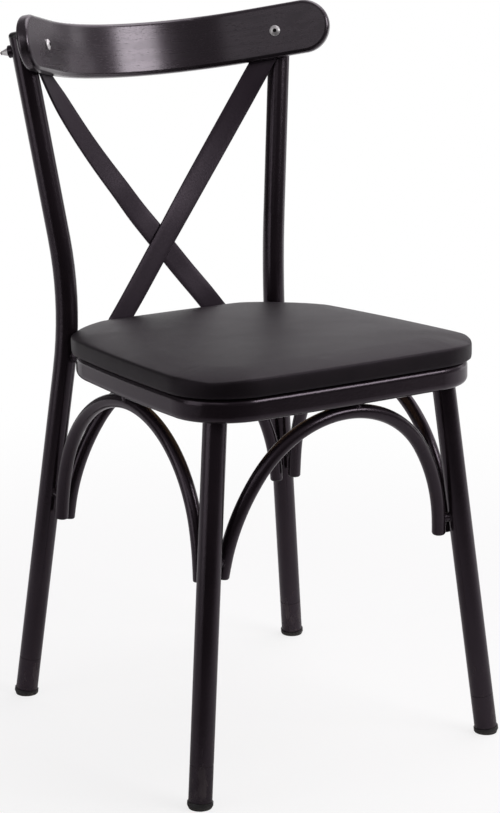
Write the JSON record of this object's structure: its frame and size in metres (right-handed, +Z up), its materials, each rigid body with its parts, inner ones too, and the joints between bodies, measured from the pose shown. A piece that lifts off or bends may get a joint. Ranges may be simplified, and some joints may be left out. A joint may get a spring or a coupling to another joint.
{
  "type": "cross-back dining chair",
  "caption": "Metal dining chair with splayed tube legs, arched under-seat braces, crossed flat back straps, a bent top rail and a padded seat.",
  "frame": {"origin": "on the floor under the middle of the chair's bounding box", "axes": "+Z up, the chair faces -Y, +X across it"},
  "size_m": [0.433, 0.5033, 0.8383],
  "materials": {
    "frame_coat": "satin black powder coat",
    "strap_coat": "satin black powder coat",
    "rail_coat": "black stained bentwood with satin lacquer",
    "bright_steel": "bright zinc or nickel plating",
    "screw_steel": "zinc plated",
    "cap_plastic": "black moulded plastic",
    "glide_plastic": "black moulded plastic",
    "board_wood": "bare plywood",
    "foam": "open cell foam",
    "seat_leatherette": "black grained leatherette"
  },
  "bodies": {
    "root": {"rear_leg_left": "frame_coat", "rear_leg_right": "frame_coat", "front_leg_left": "frame_coat", "front_leg_right": "frame_coat", "seat_hoop": "frame_coat", "seat_tabs": "frame_coat", "leg_plates": "frame_coat", "front_arch": "frame_coat", "rear_arch": "frame_coat", "left_arch": "frame_coat", "right_arch": "frame_coat", "arch_end_plugs": "cap_plastic", "arch_leg_studs": "frame_coat", "arch_crown_studs": "frame_coat", "seat_spacers": "frame_coat", "strap_front": "strap_coat", "strap_rear": "strap_coat", "strap_rivets": "strap_coat", "top_rail": "rail_coat", "rail_bolts": "bright_steel", "rail_cap_nuts": "bright_steel", "post_washers": "frame_coat", "post_caps": "cap_plastic", "glide_front_left": "glide_plastic", "glide_front_right": "glide_plastic", "glide_rear_left": "glide_plastic", "glide_rear_right": "glide_plastic", "seat_board": "board_wood", "seat_foam": "foam", "seat_cover": "seat_leatherette", "seat_screws": "screw_steel"}
  },
  "joints": []
}
